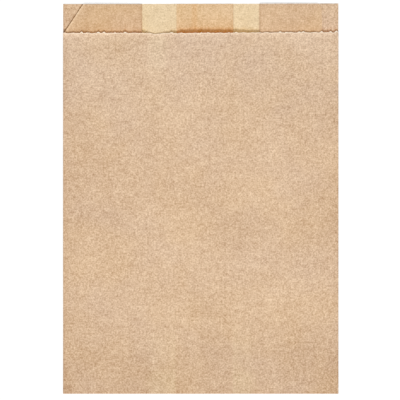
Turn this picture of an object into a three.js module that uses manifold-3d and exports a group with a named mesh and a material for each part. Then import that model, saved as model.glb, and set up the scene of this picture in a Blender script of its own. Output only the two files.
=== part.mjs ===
// Flat-packed paper bag for one croissant, folded from a single web of kraft paper.
// The web is lapped and pasted along the back, tucked in at both sides as gussets and
// turned under at the bottom. One stepped knife cut parts each bag from the next: it
// leaves a lip on the back at the mouth, and a pasting flap on the front at the bottom.
// Millimetres. X runs across the bag, Y from the bottom fold to the mouth, and Z up
// from the back panel, on which the bag lies.
import * as THREE from 'three';
import Module from 'manifold-3d';

// Sizes of the folded bag
const BAG_WIDTH = 140;
const BAG_HEIGHT = 198.5;
const GUSSET_DEPTH = 40;
const LIP_HEIGHT = 15;
const PAPER = 0.08;

// The lap that closes the web, on the back
const LAP_WIDTH = 29;
const LAP_SHIFT = 2.2;
const LAP_GAP = 0.04;
const LAP_RAMP = 3.2;

// The bottom, turned under and pasted to the back
const TUCK = 6;
const BEND_RADIUS = 0.05;
const TUCK_RAMP = 8;
const FLAP_RAMP = 16;
const RAMP_CLEARANCE = 0.5;

// The knife cut at the mouth: slanted across the left gusset, stepped across the right
const SLANT_REACH = 9.9;
const STEP_REACH = 8.75;
const STEP_KERF = 0.15;
const STEP_CORNER_WIDTH = 2.2;
const STEP_CORNER_DEPTH = 3.2;
const LIP_SKEW = 0.5;
const LIP_SAG = 0.6;
const LIP_SAG_INSET = 7.7;
const LIP_SAG_WIDTH = 4.5;

// The torn edge that the toothed knife leaves on the front panel
const TOOTH_PITCH = 2.4;
const TOOTH_DEPTH = 0.16;
const TOOTH_BEAT = 11.3;
const TUFT_WIDTH = 0.9;
const TORN_BAND = 4.8;
// Each tuft's place, from -1 at the left side to 1 at the right, and its height
const TUFTS = [
  [-0.867, 0.5], [-0.746, 0.45], [-0.701, 0.5], [-0.62, 0.35], [-0.547, 0.4], [-0.213, 0.35],
  [0.003, 0.5], [0.056, 0.3], [0.257, 0.7], [0.573, 0.75], [0.617, 0.3], [0.714, 0.45],
  [0.749, 0.9], [0.871, 0.75], [0.937, 0.8], [0.977, 1.0],
];

// How far the pressed plies spring apart
const PLY_GAP = 0.04;
const CREASE_SPRING = 0.08;
const GUSSET_SPRING = 0.42;
const BACK_SPRING = 0.06;
const SPRING_RUN = 60;

// The front panel's mouth sinks beside the left gusset and arches up over the lap
const SAG_GAP = 0.12;
const SAG_RUN = 3.5;
const SAG_LENGTH = 45;
const TIP_CLEARANCE = 0.5;
const ARCH_RISE = 1.35;
const ARCH_LEAD = 6.7;
const ARCH_RUN = 18;

// Its torn edge curls up, more on the left than on the right
const CURL_LEFT = 0.45;
const CURL_RIGHT = 0.15;
const CURL_RUN = 3.2;

// Paste
const SEAM_PASTE_INSET = 9.1;
const SEAM_PASTE_WIDTH = 2.5;
const SEAM_PASTE_END = 6;
const FLAP_PASTE_WIDTH = 6;
const FLAP_PASTE_INSET = 2;

// Facets
const SPAN_STEPS = 3;
const SHORT_SPAN_STEPS = 2;
const ARCH_STEPS = 5;
const FOLD_STEPS = 4;
const BEND_STEPS = 6;
const LEAST_STEP = 0.005;
// Rows in the band that the torn edge shapes, as shares of the way to the cut
const TORN_ROWS = [0.35, 0.7];

const mix = (a, b, w) => a + (b - a) * w;
const smooth = THREE.MathUtils.smoothstep;
const evenly = (count) => Array.from({ length: count }, (_, i) => i / count);
const ladder = (from, to, count) => [...evenly(count), 1].map((s) => mix(from, to, s));

// Lengths in order, without those that all but repeat the one before
function sorted(list) {
  return [...list].sort((a, b) => a - b).filter(
    (value, i, all) => i === 0 || value - all[i - 1] > LEAST_STEP,
  );
}

// Derived sizes
const half = BAG_WIDTH / 2;
const pressedPitch = PAPER + PLY_GAP;
const lapLeft = LAP_SHIFT - LAP_WIDTH / 2;
const lapRight = LAP_SHIFT + LAP_WIDTH / 2;
const tipX = half - GUSSET_DEPTH;
const sagX = tipX - TIP_CLEARANCE;
const dipX = sagX - SAG_RUN;
const archFoot = lapLeft - ARCH_LEAD;
const archTop = archFoot + ARCH_RUN;
const lipSagX = LIP_SAG_INSET - tipX;
// Two gusset plies and the front panel lie pressed on the back panel.
const pressedLevel = Math.max(backLevel(-tipX), backLevel(tipX)) + 3 * pressedPitch;
const pressedHeight = pressedLevel + PAPER / 2;
const bendArc = Math.PI * BEND_RADIUS;
const bendCentreZ = pressedHeight + BEND_RADIUS;
const bottomY = BEND_RADIUS + pressedHeight - BAG_HEIGHT / 2;
const mouth = BAG_HEIGHT / 2 - bottomY;
const flapLength = TUCK + LIP_HEIGHT;
const tuckEnd = TUCK + RAMP_CLEARANCE;
const flapEnd = flapLength + RAMP_CLEARANCE;
// All plies are turned under the tuck, and two of them at most reach on to the flap's end.
const tuckBase = pressedHeight + 2 * BEND_RADIUS;
const flapBase = 2 * pressedPitch;
const lipFoot = mouth - LIP_HEIGHT;
const tornFoot = lipFoot - TORN_BAND;

// How far the plies have sprung apart at a distance v from the bottom fold, from 0 to 1
function spring(v) {
  return smooth(v, flapLength, flapLength + SPRING_RUN);
}

// Height of the back panel's outer skin over the table
function baseHeight(v) {
  const overTuck = 1 - smooth(v, tuckEnd, tuckEnd + TUCK_RAMP);
  const overFlap = 1 - smooth(v, flapEnd, flapEnd + FLAP_RAMP);
  return mix(flapBase * overFlap, tuckBase, overTuck);
}

// Levels are heights of a ply's middle over the back panel's outer skin.
function backLevel(x) {
  const onLap = smooth(x, lapLeft - LAP_RAMP, lapLeft - PAPER);
  const offLap = smooth(x, lapRight, lapRight + LAP_RAMP);
  return PAPER / 2 + (PAPER + LAP_GAP) * (onLap - offLap);
}

// The gap between two plies that meet in a crease, wider with the share of the gusset's
// depth that lies between them and the crease
function gapFrom(away, v) {
  const bow = Math.sin((Math.PI / 2) * THREE.MathUtils.clamp(away, 0, 1));
  return PLY_GAP + spring(v) * (CREASE_SPRING + GUSSET_SPRING * bow);
}

function fromSide(x) {
  return (half - Math.abs(x)) / GUSSET_DEPTH;
}

function gussetBackLevel(x, v) {
  return backLevel(x) + PAPER + PLY_GAP + BACK_SPRING * spring(v);
}

function gussetFrontLevel(x, v) {
  return gussetBackLevel(x, v) + PAPER + gapFrom(1 - fromSide(x), v);
}

function heldLevel(x, v) {
  return gussetFrontLevel(x, v) + PAPER + gapFrom(fromSide(x), v);
}

function curl(x, v) {
  const rise = mix(CURL_LEFT, CURL_RIGHT, (x + half) / BAG_WIDTH);
  return rise * THREE.MathUtils.clamp(1 - (lipFoot - v) / CURL_RUN, 0, 1) ** 2;
}

// The front panel lies on the gussets and spans the space between them. Towards the
// mouth it sinks to the back panel beside the left gusset, arches up over the lap and
// comes down slowly to the right gusset.
function frontLevel(x, v) {
  const rim = Math.max(Math.abs(x), tipX);
  const across = THREE.MathUtils.clamp((x + tipX) / (2 * tipX), 0, 1);
  const held = mix(heldLevel(-rim, v), heldLevel(rim, v), across);
  const sagged = backLevel(x) + PAPER + SAG_GAP + ARCH_RISE * smooth(x, archFoot, archTop);
  const free = smooth(x, -sagX, -dipX) - smooth(x, archTop, sagX);
  return mix(held, sagged, free * smooth(v, lipFoot - SAG_LENGTH, lipFoot)) + curl(x, v);
}

// The torn line of the front panel's mouth, as a drop below the back panel's
function frontDrop(x) {
  const skew = (-LIP_SKEW * x) / BAG_WIDTH;
  const sag = LIP_SAG * Math.exp(-(((x - lipSagX) / (LIP_SAG_WIDTH / 2)) ** 2));
  const phase = (x / TOOTH_PITCH) * Math.PI;
  const tooth = TOOTH_DEPTH * Math.cos(phase) * Math.cos((x / TOOTH_BEAT) * Math.PI);
  const tuft = Math.max(0, ...TUFTS.map(
    ([at, rise]) => rise * (1 - Math.abs(x - at * half) / (TUFT_WIDTH / 2)),
  ));
  return LIP_HEIGHT + skew + sag + tooth - tuft;
}

function slantDrop(x) {
  const across = THREE.MathUtils.clamp((x + half) / SLANT_REACH, 0, 1);
  return frontDrop(-half) * (1 - across);
}

function stepDrop(x) {
  const past = half - x - STEP_REACH;
  if (past <= 0) return frontDrop(half);
  const corner = THREE.MathUtils.clamp(1 - (past - STEP_KERF) / STEP_CORNER_WIDTH, 0, 1);
  return STEP_CORNER_DEPTH * corner ** 2;
}

// The folded web as a chain of plies and folds, from the lap's inner edge round the
// left side, the front and the right side to the lap's outer edge. A ply runs from one
// x to another at its own level. A fold turns about half a circle between two levels.
function ply(from, to, level, drop, stops) {
  return {
    stops,
    drop,
    at(s, v) {
      const x = mix(from(v), to(v), s);
      return new THREE.Vector2(x, level(x, v));
    },
  };
}

function fold(edge, side, levelIn, levelOut, drop) {
  return {
    stops: evenly(FOLD_STEPS),
    drop,
    at(s, v) {
      const low = levelIn(edge, v);
      const high = levelOut(edge, v);
      const radius = Math.abs(high - low) / 2;
      const centreX = edge - side * radius;
      const turn = Math.PI * s;
      const x = centreX + side * radius * Math.sin(turn);
      return new THREE.Vector2(x, mix(low, high, (1 - Math.cos(turn)) / 2));
    },
  };
}

// Where a ply meets a fold at an edge, half a circle in from it
function foldStart(edge, side, levelIn, levelOut) {
  return (v) => edge - (side * Math.abs(levelOut(edge, v) - levelIn(edge, v))) / 2;
}

const leftEdge = PAPER / 2 - half;
const rightEdge = -leftEdge;
const noDrop = () => 0;
const fullDrop = (x) => frontDrop(Math.sign(x) * half);
const backLeft = foldStart(leftEdge, -1, backLevel, gussetBackLevel);
const tipLeft = foldStart(-tipX, 1, gussetBackLevel, gussetFrontLevel);
const frontLeft = foldStart(leftEdge, -1, gussetFrontLevel, frontLevel);
const frontRight = foldStart(rightEdge, 1, frontLevel, gussetFrontLevel);
const tipRight = foldStart(tipX, -1, gussetFrontLevel, gussetBackLevel);
const backRight = foldStart(rightEdge, 1, gussetBackLevel, backLevel);

// Steps across a ply at the given x, as shares of its length
function stopsAt(from, to, list) {
  const least = Math.min(from, to) + LEAST_STEP;
  const most = Math.max(from, to) - LEAST_STEP;
  const inside = sorted(list).filter((x) => x > least && x < most);
  return [from, ...inside].map((x) => (x - from) / (to - from)).sort((a, b) => a - b);
}

const lapFoot = lapLeft - LAP_RAMP;
const lapStops = stopsAt(lapRight, -half, [
  lapLeft,
  ...ladder(lapLeft - PAPER, lapFoot, SHORT_SPAN_STEPS),
  ...ladder(lapFoot, -half, SPAN_STEPS),
]);
const slantX = SLANT_REACH - half;
const slantStops = stopsAt(-tipX, -half, [
  ...ladder(-tipX, slantX, SPAN_STEPS),
  ...ladder(slantX, -half, SHORT_SPAN_STEPS),
]);
const stepX = half - STEP_REACH;
const cornerX = stepX - STEP_KERF;
const cornerEndX = cornerX - STEP_CORNER_WIDTH;
const stepStops = stopsAt(half, tipX, [
  stepX,
  ...ladder(cornerX, cornerEndX, SPAN_STEPS),
  ...ladder(cornerEndX, tipX, SPAN_STEPS),
]);
const frontXs = [
  ...ladder(-half, -tipX, SPAN_STEPS),
  ...ladder(-sagX, -dipX, SHORT_SPAN_STEPS),
  ...ladder(archFoot, archTop, ARCH_STEPS),
  ...ladder(archTop, sagX, ARCH_STEPS),
  ...ladder(tipX, half, SPAN_STEPS),
];
const plain = evenly(SPAN_STEPS);

// The right part of the back panel lies flat under the lap.
const underLapLevel = () => PAPER / 2;

const frontPanel = ply(frontLeft, frontRight, frontLevel, frontDrop, stopsAt(-half, half, frontXs));
const chain = [
  ply(() => lapRight, backLeft, backLevel, noDrop, lapStops),
  fold(leftEdge, -1, backLevel, gussetBackLevel, noDrop),
  ply(backLeft, tipLeft, gussetBackLevel, noDrop, plain),
  fold(-tipX, 1, gussetBackLevel, gussetFrontLevel, noDrop),
  ply(tipLeft, frontLeft, gussetFrontLevel, slantDrop, slantStops),
  fold(leftEdge, -1, gussetFrontLevel, frontLevel, fullDrop),
  frontPanel,
  fold(rightEdge, 1, frontLevel, gussetFrontLevel, fullDrop),
  ply(frontRight, tipRight, gussetFrontLevel, stepDrop, stepStops),
  fold(tipX, -1, gussetFrontLevel, gussetBackLevel, noDrop),
  ply(tipRight, backRight, gussetBackLevel, noDrop, plain),
  fold(rightEdge, 1, gussetBackLevel, backLevel, noDrop),
  ply(backRight, () => lapLeft, underLapLevel, noDrop, plain),
];

// A place on the chain is its link's number plus the share of the way along that link.
function pointAt(place, v) {
  const link = Math.min(Math.floor(place), chain.length - 1);
  return chain[link].at(place - link, v);
}

// Outward unit normal of the section
function normalAt(place, v) {
  const nudge = 1e-4;
  const ahead = pointAt(Math.min(place + nudge, chain.length), v);
  const behind = pointAt(Math.max(place - nudge, 0), v);
  const along = ahead.sub(behind).normalize();
  return new THREE.Vector2(-along.y, along.x);
}

// From a place in the section at height h, a distance v up the bag from the bottom
// fold, to space. Below 0 the section turns under the bag and runs back beneath it.
function toSpace(x, h, v) {
  if (v >= 0) return new THREE.Vector3(x, bottomY + v, baseHeight(v) + h);
  const turn = Math.min(-v / BEND_RADIUS, Math.PI);
  const reach = BEND_RADIUS + h;
  const beyond = Math.max(0, -v - bendArc);
  return new THREE.Vector3(
    x,
    bottomY - reach * Math.sin(turn) + beyond,
    bendCentreZ + reach * Math.cos(turn),
  );
}

// Both skins of the paper at one place
function skinsAt(place, v) {
  const point = pointAt(place, v);
  const normal = normalAt(place, v);
  return [1, -1].map((side) => {
    const skin = point.clone().addScaledVector(normal, (side * PAPER) / 2);
    return toSpace(skin.x, skin.y, v);
  });
}

// The steps of the whole chain, with those of the front panel given
function placesWith(frontStops) {
  const stopsOf = (link) => (link === frontPanel ? frontStops : link.stops);
  return chain.flatMap((link, i) => stopsOf(link).map((s) => i + s)).concat(chain.length);
}

const places = placesWith(frontPanel.stops);
const tornPlaces = placesWith(stopsAt(-half, half, [
  ...frontXs,
  ...ladder(-half, half, Math.round(BAG_WIDTH / TOOTH_PITCH)),
  ...TUFTS.flatMap(([at]) => [-0.5, 0, 0.5].map((s) => at * half + s * TUFT_WIDTH)),
]));

const dropAt = (place) => {
  const link = Math.min(Math.floor(place), chain.length - 1);
  return chain[link].drop(pointAt(place, mouth).x);
};
const mouthCut = (place) => mouth - dropAt(place);
// A ply that lies further out uses up more of its length round the fold.
const bottomCut = (place) => -TUCK - dropAt(place) - bendArc + Math.PI * pointAt(place, 0).y;

// Rows across the web, from the bottom cut, round the fold and up to the mouth
const bendVs = ladder(-bendArc, 0, BEND_STEPS);
const bodyVs = sorted([
  ...ladder(tuckEnd, tuckEnd + TUCK_RAMP, SPAN_STEPS),
  ...ladder(flapEnd, flapEnd + FLAP_RAMP, SPAN_STEPS),
  ...ladder(flapEnd + FLAP_RAMP, tornFoot - SAG_LENGTH, SPAN_STEPS),
  ...ladder(tornFoot - SAG_LENGTH, tornFoot, SPAN_STEPS),
]);
const rows = [
  { places, cut: bottomCut },
  ...[...bendVs, ...bodyVs].map((v) => ({ places, cut: () => v })),
  ...TORN_ROWS.map((share) => ({ places, cut: (place) => mix(tornFoot, mouthCut(place), share) })),
  { places: tornPlaces, cut: mouthCut },
];

// A growing list of vertices and triangles
class Shell {
  positions = [];
  triangles = [];

  vertex(point) {
    this.positions.push(point.x, point.y, point.z);
    return this.positions.length / 3 - 1;
  }

  triangle(a, b, c) {
    this.triangles.push(a, b, c);
  }

  quad(a, b, c, d) {
    this.triangle(a, b, c);
    this.triangle(a, c, d);
  }

  geometry() {
    const geometry = new THREE.BufferGeometry();
    geometry.setAttribute('position', new THREE.Float32BufferAttribute(this.positions, 3));
    geometry.setIndex(this.triangles);
    return geometry;
  }
}

// Fills the band between two rows, whose places may differ.
function fillBand(shell, low, high, side, flip) {
  let i = 0;
  let j = 0;
  while (i < low.places.length - 1 || j < high.places.length - 1) {
    const nextLow = low.places[i + 1] ?? Infinity;
    const nextHigh = high.places[j + 1] ?? Infinity;
    const a = low.ids[i][side];
    const d = high.ids[j][side];
    const advanceLow = nextLow <= nextHigh;
    const next = advanceLow ? low.ids[i + 1][side] : high.ids[j + 1][side];
    if (flip) shell.triangle(a, d, next);
    else shell.triangle(a, next, d);
    if (advanceLow) i += 1;
    else j += 1;
  }
}

function foldedWeb() {
  const shell = new Shell();
  const laid = rows.map((row) => ({
    places: row.places,
    ids: row.places.map((place) => skinsAt(place, row.cut(place)).map((p) => shell.vertex(p))),
  }));
  for (let r = 0; r + 1 < laid.length; r += 1) {
    const low = laid[r];
    const high = laid[r + 1];
    fillBand(shell, low, high, 0, false);
    fillBand(shell, low, high, 1, true);
    const [lowFirst, highFirst] = [low.ids[0], high.ids[0]];
    const [lowLast, highLast] = [low.ids.at(-1), high.ids.at(-1)];
    shell.quad(lowFirst[0], highFirst[0], highFirst[1], lowFirst[1]);
    shell.quad(highLast[0], lowLast[0], lowLast[1], highLast[1]);
  }
  const bottom = laid[0].ids;
  const top = laid.at(-1).ids;
  for (let i = 0; i + 1 < bottom.length; i += 1) {
    shell.quad(bottom[i + 1][0], bottom[i][0], bottom[i][1], bottom[i + 1][1]);
  }
  for (let i = 0; i + 1 < top.length; i += 1) {
    shell.quad(top[i][0], top[i + 1][0], top[i + 1][1], top[i][1]);
  }
  return shell.geometry();
}

// A bead of paste between two plies: a bar that follows the same rows as the web
function pasteBead(fromX, toX, [low, high], vs) {
  const shell = new Shell();
  const corners = [[fromX, low], [toX, low], [toX, high], [fromX, high]];
  const sections = vs.map((v) => corners.map(([x, h]) => shell.vertex(toSpace(x, h, v))));
  for (let r = 0; r + 1 < sections.length; r += 1) {
    corners.forEach((_, i) => {
      const next = (i + 1) % corners.length;
      shell.quad(sections[r][next], sections[r][i], sections[r + 1][i], sections[r + 1][next]);
    });
  }
  const first = sections[0];
  const last = sections.at(-1);
  shell.quad(first[0], first[1], first[2], first[3]);
  shell.quad(last[3], last[2], last[1], last[0]);
  return shell.geometry();
}

// A line of paste along the lap joins the middles of its two plies.
function seamPaste() {
  const left = lapLeft + SEAM_PASTE_INSET - SEAM_PASTE_WIDTH / 2;
  const heights = [underLapLevel(), backLevel(LAP_SHIFT)];
  const vs = sorted([RAMP_CLEARANCE - TUCK, ...bendVs, ...bodyVs, mouth - SEAM_PASTE_END]);
  return pasteBead(left, left + SEAM_PASTE_WIDTH, heights, vs);
}

// Two beads hold the flap to the back, and stop short of the step at the lap.
function flapPastes() {
  const middle = mix(TUCK + TUCK_RAMP, flapLength, 0.5);
  const vs = [middle - FLAP_PASTE_WIDTH / 2, middle + FLAP_PASTE_WIDTH / 2];
  const reach = half - SLANT_REACH - FLAP_PASTE_INSET;
  const heights = [underLapLevel() - flapBase, underLapLevel()];
  return [
    pasteBead(-reach, lapFoot - FLAP_PASTE_INSET, heights, vs),
    pasteBead(lapLeft + FLAP_PASTE_INSET, reach, heights, vs),
  ];
}

const wasm = await Module();
wasm.setup();

function toSolid(geometry) {
  return new wasm.Manifold(new wasm.Mesh({
    numProp: 3,
    vertProperties: geometry.getAttribute('position').array,
    triVerts: Uint32Array.from(geometry.getIndex().array),
  }));
}

function toGeometry(solid) {
  const mesh = solid.getMesh();
  const geometry = new THREE.BufferGeometry();
  geometry.setAttribute('position', new THREE.BufferAttribute(mesh.vertProperties, 3));
  geometry.setIndex(new THREE.BufferAttribute(mesh.triVerts, 1));
  geometry.computeVertexNormals();
  return geometry;
}

const pasted = [seamPaste(), ...flapPastes()].reduce(
  (solid, bead) => solid.add(toSolid(bead)),
  toSolid(foldedWeb()),
);
const kraft = new THREE.MeshStandardMaterial({ color: '#dbbc9a', roughness: 0.9, metalness: 0 });
const bag = new THREE.Mesh(toGeometry(pasted), kraft);
bag.name = 'paper_bag';

const group = new THREE.Group();
group.add(bag);

export default group;
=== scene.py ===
import math

import bpy
import numpy as np
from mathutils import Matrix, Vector


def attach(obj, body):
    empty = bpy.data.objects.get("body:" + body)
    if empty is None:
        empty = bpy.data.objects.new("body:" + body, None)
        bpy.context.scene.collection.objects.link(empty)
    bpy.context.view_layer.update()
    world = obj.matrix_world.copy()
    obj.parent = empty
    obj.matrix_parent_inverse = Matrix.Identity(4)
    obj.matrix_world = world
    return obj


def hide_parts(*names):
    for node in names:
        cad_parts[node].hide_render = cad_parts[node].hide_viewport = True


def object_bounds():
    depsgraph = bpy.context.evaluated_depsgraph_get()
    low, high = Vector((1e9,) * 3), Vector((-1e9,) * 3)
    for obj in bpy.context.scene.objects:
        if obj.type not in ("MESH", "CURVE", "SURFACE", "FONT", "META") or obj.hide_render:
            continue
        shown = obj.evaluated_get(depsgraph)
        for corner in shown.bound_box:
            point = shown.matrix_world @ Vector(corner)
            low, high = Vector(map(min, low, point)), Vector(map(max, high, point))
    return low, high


# A flat-packed kraft paper bag for one croissant, folded from a single web of paper:
# lapped and pasted along the back, tucked in at both sides, turned under at the bottom
# and torn off along a stepped, toothed knife at the mouth. Metres. X runs across the bag,
# Y from the bottom fold to the mouth, Z up from the table that the back panel lies on.

bl_info = {
    "name": "Folded Kraft Bag",
    "version": (1, 0, 0),
    "blender": (4, 5, 0),
    "location": "View3D > Sidebar > Kraft Bag",
    "description": "Folds a gusseted bakery bag from one web of kraft paper on a white table",
    "category": "Add Mesh",
}

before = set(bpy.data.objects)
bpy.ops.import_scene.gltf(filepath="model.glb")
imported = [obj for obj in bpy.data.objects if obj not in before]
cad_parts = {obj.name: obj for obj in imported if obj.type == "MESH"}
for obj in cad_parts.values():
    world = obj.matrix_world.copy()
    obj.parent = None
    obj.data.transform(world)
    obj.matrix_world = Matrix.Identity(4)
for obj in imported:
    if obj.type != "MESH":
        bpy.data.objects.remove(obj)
CAD_LOW, CAD_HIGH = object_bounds()
BODY = "root"
CAD_NODE = "paper_bag"
MM = 0.001


# Ramps and noise

def smoothstep(value, low, high):
    t = np.clip((value - low) / (high - low), 0.0, 1.0)
    return t * t * (3.0 - 2.0 * t)


def mix(a, b, share):
    return a + (b - a) * share


def fading(away, reach):
    return np.exp(-away / reach)


def hump(away, width):
    return np.exp(-((away / width) ** 2))


def value_noise(places, pitch, seed):
    """Smooth noise from -1 to 1 along a line, with one random value every pitch."""
    rng = np.random.default_rng(seed)
    values = rng.uniform(-1.0, 1.0, 4096)
    scaled = places / pitch + 1000.0
    cell = np.floor(scaled).astype(int)
    t = smoothstep(scaled - cell, 0.0, 1.0)
    return mix(values[cell % values.size], values[(cell + 1) % values.size], t)


def cloud(x, y, pitch, seed):
    """Smooth noise from -1 to 1 over a plane, as a few turned waves."""
    rng = np.random.default_rng(seed)
    total = np.zeros(np.broadcast(x, y).shape)
    waves = 7
    for _ in range(waves):
        turn = rng.uniform(0.0, math.pi)
        wavelength = pitch * rng.uniform(0.7, 1.8)
        phase = rng.uniform(0.0, 2.0 * math.pi)
        along = x * math.cos(turn) + y * math.sin(turn)
        total = total + np.sin(2.0 * math.pi * along / wavelength + phase)
    return total / math.sqrt(waves) / math.sqrt(2.0)


# Sizes and colours

def number(label, words, value, **more):
    return bpy.props.FloatProperty(name=label, description=words, default=value, **more)


def length(label, words, millimetres):
    return number(label, words, millimetres * MM, unit="LENGTH", precision=5)


def angle(label, words, degrees):
    return number(label, words, math.radians(degrees), subtype="ANGLE")


def colour(label, words, red, green, blue):
    return bpy.props.FloatVectorProperty(
        name=label, description=words, subtype="COLOR_GAMMA", size=3, min=0.0, max=1.0,
        default=(red / 255, green / 255, blue / 255))


class BagSizes(bpy.types.PropertyGroup):
    width: number("Width", "Width of the folded bag", CAD_HIGH.x - CAD_LOW.x, unit="LENGTH")
    height: number("Height", "From the bottom fold to the top of the lip",
                   CAD_HIGH.y - CAD_LOW.y, unit="LENGTH")
    gusset: length("Gusset depth", "How far each side is tucked in", 40)
    lip: length("Lip height", "How far the back stands above the front's edge", 15)
    paper: length("Paper", "Thickness of the paper", 0.08)

    lap: length("Lap", "Overlap of the web's edges on the back", 29)
    lap_shift: length("Lap shift", "How far right of the middle the lap lies", 2.2)
    lap_gap: length("Lap gap", "Air between the plies of the lap", 0.04)
    lap_ramp: length("Lap ramp", "Width over which the paper climbs onto the lap", 3.2)

    tuck: length("Tuck", "How far every ply is turned under at the bottom", 6)
    bend: length("Bend", "Inside radius of the bottom fold", 0.05)
    tuck_ramp: length("Tuck ramp", "Length over which the back comes down from the tuck", 8)
    flap_ramp: length("Flap ramp", "Length over which the back comes down to the table", 16)
    clearance: length("Ramp clearance", "From a turned-under edge to its ramp", 0.5)
    front_settle: length("Front settle", "Where the front has come down from the bottom", 70)

    slant: length("Slant", "Width of the slanted cut on the left gusset", 10.3)
    slant_inset: length("Slant inset", "From the left side to the slanted cut's foot", 0.5)
    step: length("Step", "Width of the stepped cut on the right gusset", 8.4)
    kerf: length("Kerf", "Width of the step's upright cut", 0.15)
    corner_width: length("Corner width", "Width of the step's rounded corner", 2.2)
    corner_depth: length("Corner depth", "Depth of the step's rounded corner", 3.2)
    skew: length("Skew", "How far the front's edge rises from left to right", 0.5)
    lip_skew: length("Lip skew", "How far the lip's edge rises from left to right", 0.3)
    sag: length("Edge sag", "Depth of the dip in the front's edge", 0.6)
    sag_inset: length("Sag inset", "From the left gusset's fold to the dip", 7.7)
    sag_width: length("Sag width", "Width of the dip in the front's edge", 4.5)
    lap_sag: length("Lap sag", "How far the front's edge sags over the lap", 0.16)
    side_rise: length("Side rise", "How far the front's edge rises at the left side", 0.18)
    side_run: length("Side run", "Width over which the edge changes at the left side", 8)
    tooth_pitch: length("Tooth pitch", "Spacing of the knife's teeth", 2.4)
    tooth_depth: length("Tooth depth", "Depth of the marks of the teeth", 0.16)
    tooth_beat: length("Tooth beat", "Spacing at which the marks fade in and out", 11.3)
    tuft_width: length("Tuft width", "Width of a tuft of torn fibres", 1.7)
    nick: length("Nick", "Depth of the small nicks along a torn edge", 0.11)
    torn_band: length("Torn band", "Depth of the band that carries the torn edge", 4.8)

    ply_gap: length("Ply gap", "Air between plies that are pressed together", 0.04)
    crease_spring: length("Crease spring", "How far the plies spring apart at a crease", 0.08)
    gusset_spring: length("Gusset spring", "How far they spring apart inside a gusset", 0.42)
    back_spring: length("Back spring", "How far a gusset springs off the back", 0.06)
    lean: length("Lean", "How far the right gusset's front ply leans forward at its fold", 0.25)
    lip_settle: length("Lip settle", "How far the gussets come down along the lip", 0.2)
    spring_run: length("Spring run", "Length over which the plies spring apart", 60)
    dip_gap: length("Dip gap", "Air under the front where it sinks to the back", 0.19)
    dip_run: length("Dip run", "Width over which the front sinks beside the left gusset", 3.5)
    dip_length: length("Dip length", "How far the dip reaches down the bag", 45)
    tip_clearance: length("Tip clearance", "From a gusset's fold to the dip", 0.5)
    arch: length("Arch", "Height of the front's arch over the lap", 1.35)
    arch_lead: length("Arch lead", "How far left of the lap the arch begins", 10.2)
    arch_run: length("Arch run", "Width over which the arch rises", 19)
    arch_tail: length("Arch tail", "How far left of the lap's right edge the arch comes down", 3)
    tip_overlap: length("Tip overlap", "From the right gusset's fold to the arch's end", 4)
    curl_left: length("Left curl", "How far the torn edge curls up at the left", 0.45)
    curl_right: length("Right curl", "How far the torn edge curls up at the right", 0.08)
    curl_side: length("Side curl", "How much more it curls up at the left side", 0.35)
    curl_run: length("Curl run", "Length over which the torn edge curls up", 3.2)
    cockle: length("Cockle", "Height of the front's faint waves", 0.1)
    cockle_pitch: length("Cockle pitch", "Length of the front's faint waves", 34)

    paste_width: length("Paste width", "Width of the line of paste along the lap", 2.5)
    paste_inset: length("Paste inset", "From the lap's inner edge to the paste", 9.1)
    paste_end: length("Paste end", "From the mouth to the end of the paste", 6)
    flap_paste: length("Flap paste", "Width of the band of paste under the flap", 6)
    flap_paste_inset: length("Flap paste inset", "From the flap's sides to the paste", 2)
    fibre_count: bpy.props.IntProperty(
        name="Fibres", description="How many single fibres stand out of the torn edge",
        default=420, min=0)


class BagColours(bpy.types.PropertyGroup):
    outer: colour("Outer skin", "Smooth side of the kraft", 217, 185, 152)
    inner: colour("Inner skin", "Rough side of the kraft", 216, 182, 145)
    single: colour("One ply", "Inner skin where the table shines through one ply", 231, 207, 170)
    # Painted light: the inner skin lighter where the table shines through the lap's two plies
    double: colour("Two plies", "Inner skin where the lap doubles the paper", 224, 191, 149)
    pasted: colour("Paste stain", "Paper over the line of paste", 220, 180, 133)
    # Partly the thinned paper's own paler colour, partly a painted highlight along the torn edge
    rim: colour("Torn rim", "Paper thinned out along a torn edge", 243, 214, 184)
    fibre: colour("Torn fibre", "Bare fibres along a torn edge", 252, 240, 219)
    # Painted shade along the gusset plies' cut edges
    cut_edge_shade: colour("Cut edge", "Paper along a knife's cut", 206, 178, 148)
    # Painted shadow: a warm orange tint on the plies below the front's edge, paler over one ply
    painted_shadow: colour("Glow", "Paper lit through the ply over it", 240, 166, 92)
    pale_painted_shadow: colour("Pale glow", "The same where there is only one ply", 252, 208, 140)
    shive: colour("Shive", "Dark splinters in the pulp", 168, 127, 90)
    paste: colour("Paste", "Dried starch paste", 222, 205, 172)


class Studio(bpy.types.PropertyGroup):
    lens: number("Lens", "Focal length in millimetres", 200.0)
    frame_width: length("Frame width", "Width of the view at the table", 203.5)
    aim_x: length("Aim X", "Middle of the view", -0.38)
    aim_y: length("Aim Y", "Middle of the view", -0.71)
    key: number("Key", "Strength of the key light", 1.9)
    key_height: angle("Key height", "Angle of the key light over the table", 42.0)
    key_softness: angle("Key softness", "Angle that the key light fills", 14.0)
    fill: number("Fill", "Strength of the light from all round", 0.6)
    table_white: number("Table white", "How white the table is", 0.5)
    table_lift: number("Table lift", "Light that the table adds towards the camera", 0.55)


# Each tuft on the front's edge: its place as a share of half the width, and its rise in
# millimetres
TUFTS = (
    (-0.864, 0.65), (-0.742, 0.6), (-0.701, 0.6), (-0.62, 0.4), (-0.547, 0.6), (-0.213, 0.35),
    (0.003, 0.45), (0.056, 0.3), (0.257, 0.4), (0.576, 0.55), (0.622, 0.35), (0.714, 0.45),
    (0.742, 0.55), (0.876, 0.6), (0.943, 0.6), (0.982, 0.8),
)
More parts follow.
